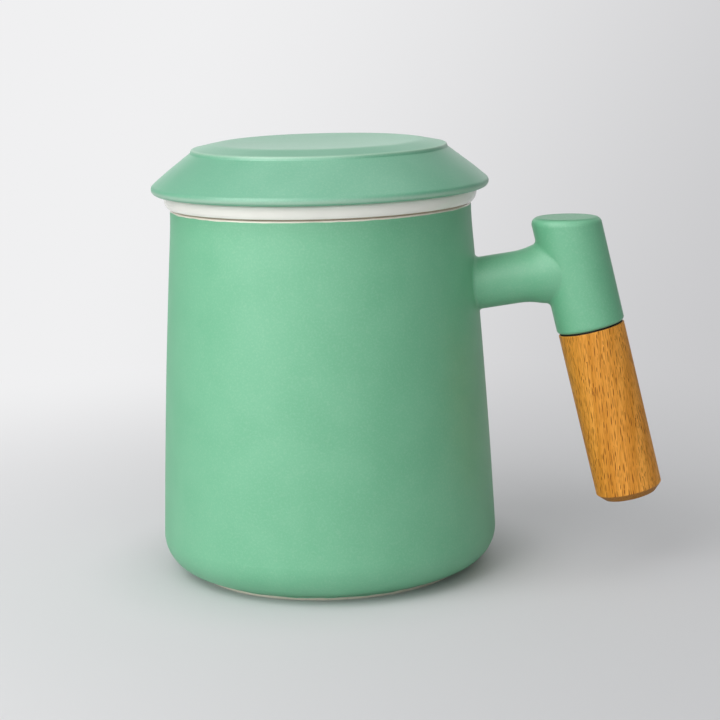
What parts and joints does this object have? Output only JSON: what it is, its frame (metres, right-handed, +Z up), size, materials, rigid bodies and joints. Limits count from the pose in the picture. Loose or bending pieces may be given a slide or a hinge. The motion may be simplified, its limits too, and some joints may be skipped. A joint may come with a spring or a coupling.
{
  "type": "lidded tea mug with infuser",
  "caption": "Tapered ceramic tea mug with a T-shaped handle and turned wooden grip, a perforated drop-in infuser with a wide flange, and a lift-off conical lid with a dished top.",
  "frame": {"origin": "centre of the foot ring, on the surface that the mug stands on", "axes": "+Z up along the mug's axis, +X towards the handle, +Y to the side"},
  "size_m": [0.1321, 0.0884, 0.1131],
  "materials": {
    "matte_green_glaze": "matte celadon green glaze over stoneware",
    "white_glaze": "gloss white glaze over porcelain",
    "oiled_beech": "turned beech, sanded and oiled",
    "black_silicone": "soft black silicone",
    "brass": "turned brass",
    "stainless_steel": "rolled-thread stainless steel",
    "socket_cement": "hardened two-part cement"
  },
  "bodies": {
    "mug": {"mug_body": "matte_green_glaze", "socket_cement": "socket_cement", "threaded_insert": "brass", "hanger_bolt": "stainless_steel", "grip_washer": "black_silicone", "wooden_grip": "oiled_beech"},
    "infuser": {"infuser": "white_glaze"},
    "lid": {"lid": "matte_green_glaze"}
  },
  "joints": [
    {"name": "infuser_lift", "type": "slide", "parent": "mug", "child": "infuser", "axis": [0, 0, 1], "range_m": [0, 0.08]},
    {"name": "lid_lift", "type": "slide", "parent": "infuser", "child": "lid", "axis": [0, 0, 1], "range_m": [0, 0.06]}
  ]
}
